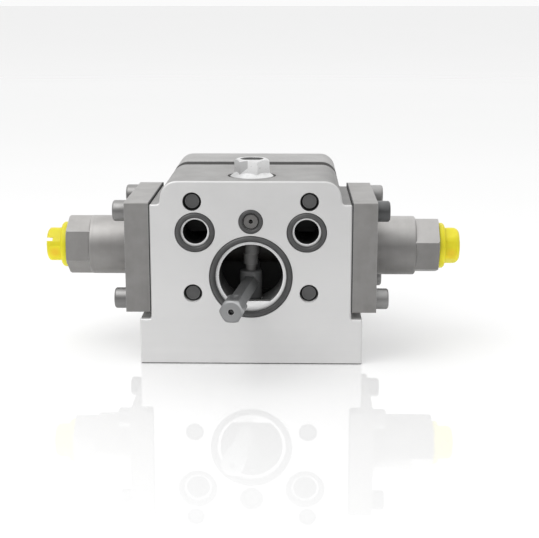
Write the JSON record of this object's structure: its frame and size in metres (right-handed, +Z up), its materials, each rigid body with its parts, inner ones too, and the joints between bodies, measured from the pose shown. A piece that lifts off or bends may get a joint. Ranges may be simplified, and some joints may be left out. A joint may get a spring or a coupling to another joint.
{
  "type": "hydraulic control valve",
  "caption": "Pilot-operated hydraulic control valve with a swinging feedback lever, side spring caps and a ported mounting face.",
  "frame": {"origin": "on the base face, on the centre plane, under the middle of the spool axis", "axes": "+X along the spool to the valve's right as seen from the mounting face side, -Y out of the mounting face, +Z up from the base"},
  "size_m": [0.204, 0.1458, 0.0965],
  "materials": {
    "machined_iron": "face-milled satin, cast top",
    "cast_iron": "fine as-cast",
    "plate_steel": "milled satin",
    "turned_steel": "turned satin",
    "screw_steel": "plain satin",
    "dark_screw_steel": "blackened, worn",
    "zinc_steel": "bright zinc",
    "dark_steel": "blackened satin",
    "ground_steel": "ground",
    "spring_steel": "drawn wire",
    "seal_rubber": "smooth matt",
    "gasket": "matt",
    "yellow_plastic": "moulded"
  },
  "bodies": {
    "housing": {"valve_body": "machined_iron", "rear_block": "cast_iron", "block_seal_rings": "seal_rubber", "mounting_screws": "dark_screw_steel", "thrust_washer": "ground_steel", "eccentric_screw": "screw_steel", "lock_nut": "zinc_steel", "sealing_washer": "seal_rubber", "orifice_plug": "dark_screw_steel", "bore_seal_ring": "seal_rubber", "left_port_seal_ring": "seal_rubber", "right_port_seal_ring": "seal_rubber", "drain_seal_ring": "seal_rubber", "left_flange_plate": "plate_steel", "left_flange_gasket": "gasket", "left_flange_screws": "screw_steel", "left_spring_cap": "turned_steel", "left_cap_seal_ring": "seal_rubber", "left_spring": "spring_steel", "right_flange_plate": "plate_steel", "right_flange_gasket": "gasket", "right_flange_screws": "screw_steel", "right_spring_cap": "turned_steel", "right_cap_seal_ring": "seal_rubber", "right_spring": "spring_steel"},
    "lever": {"lever_hub": "dark_steel", "lever_arm": "dark_steel"},
    "feedback_sleeve": {"feedback_sleeve": "ground_steel"},
    "spool": {"spool": "ground_steel", "left_spring_seat": "ground_steel", "right_spring_seat": "ground_steel"},
    "left_plug": {"left_port_plug": "yellow_plastic"},
    "right_plug": {"right_port_plug": "yellow_plastic"}
  },
  "joints": [
    {"name": "lever_swing", "type": "hinge", "parent": "housing", "child": "lever", "pos_m": [-0.0006, -0.0139, 0.036], "axis": [0, 0, 1], "range_deg": [-8.5, 21.5]},
    {"name": "feedback_sleeve_slide", "type": "slide", "parent": "housing", "child": "feedback_sleeve", "axis": [1, 0, 0], "range_m": [-0.0053, 0.0021]},
    {"name": "spool_slide", "type": "slide", "parent": "housing", "child": "spool", "axis": [1, 0, 0], "range_m": [-0.0035, 0.0035], "stiffness_N_per_m": 4000, "deforming": ["left_spring", "right_spring"]},
    {"name": "left_plug_pull", "type": "slide", "parent": "housing", "child": "left_plug", "axis": [-1, 0, 0], "range_m": [0, 0.012]},
    {"name": "right_plug_pull", "type": "slide", "parent": "housing", "child": "right_plug", "axis": [1, 0, 0], "range_m": [0, 0.012]}
  ],
  "couplings": [
    {"joint": "feedback_sleeve_slide", "follows": "lever_swing", "m_per_rad": -0.0138}
  ]
}
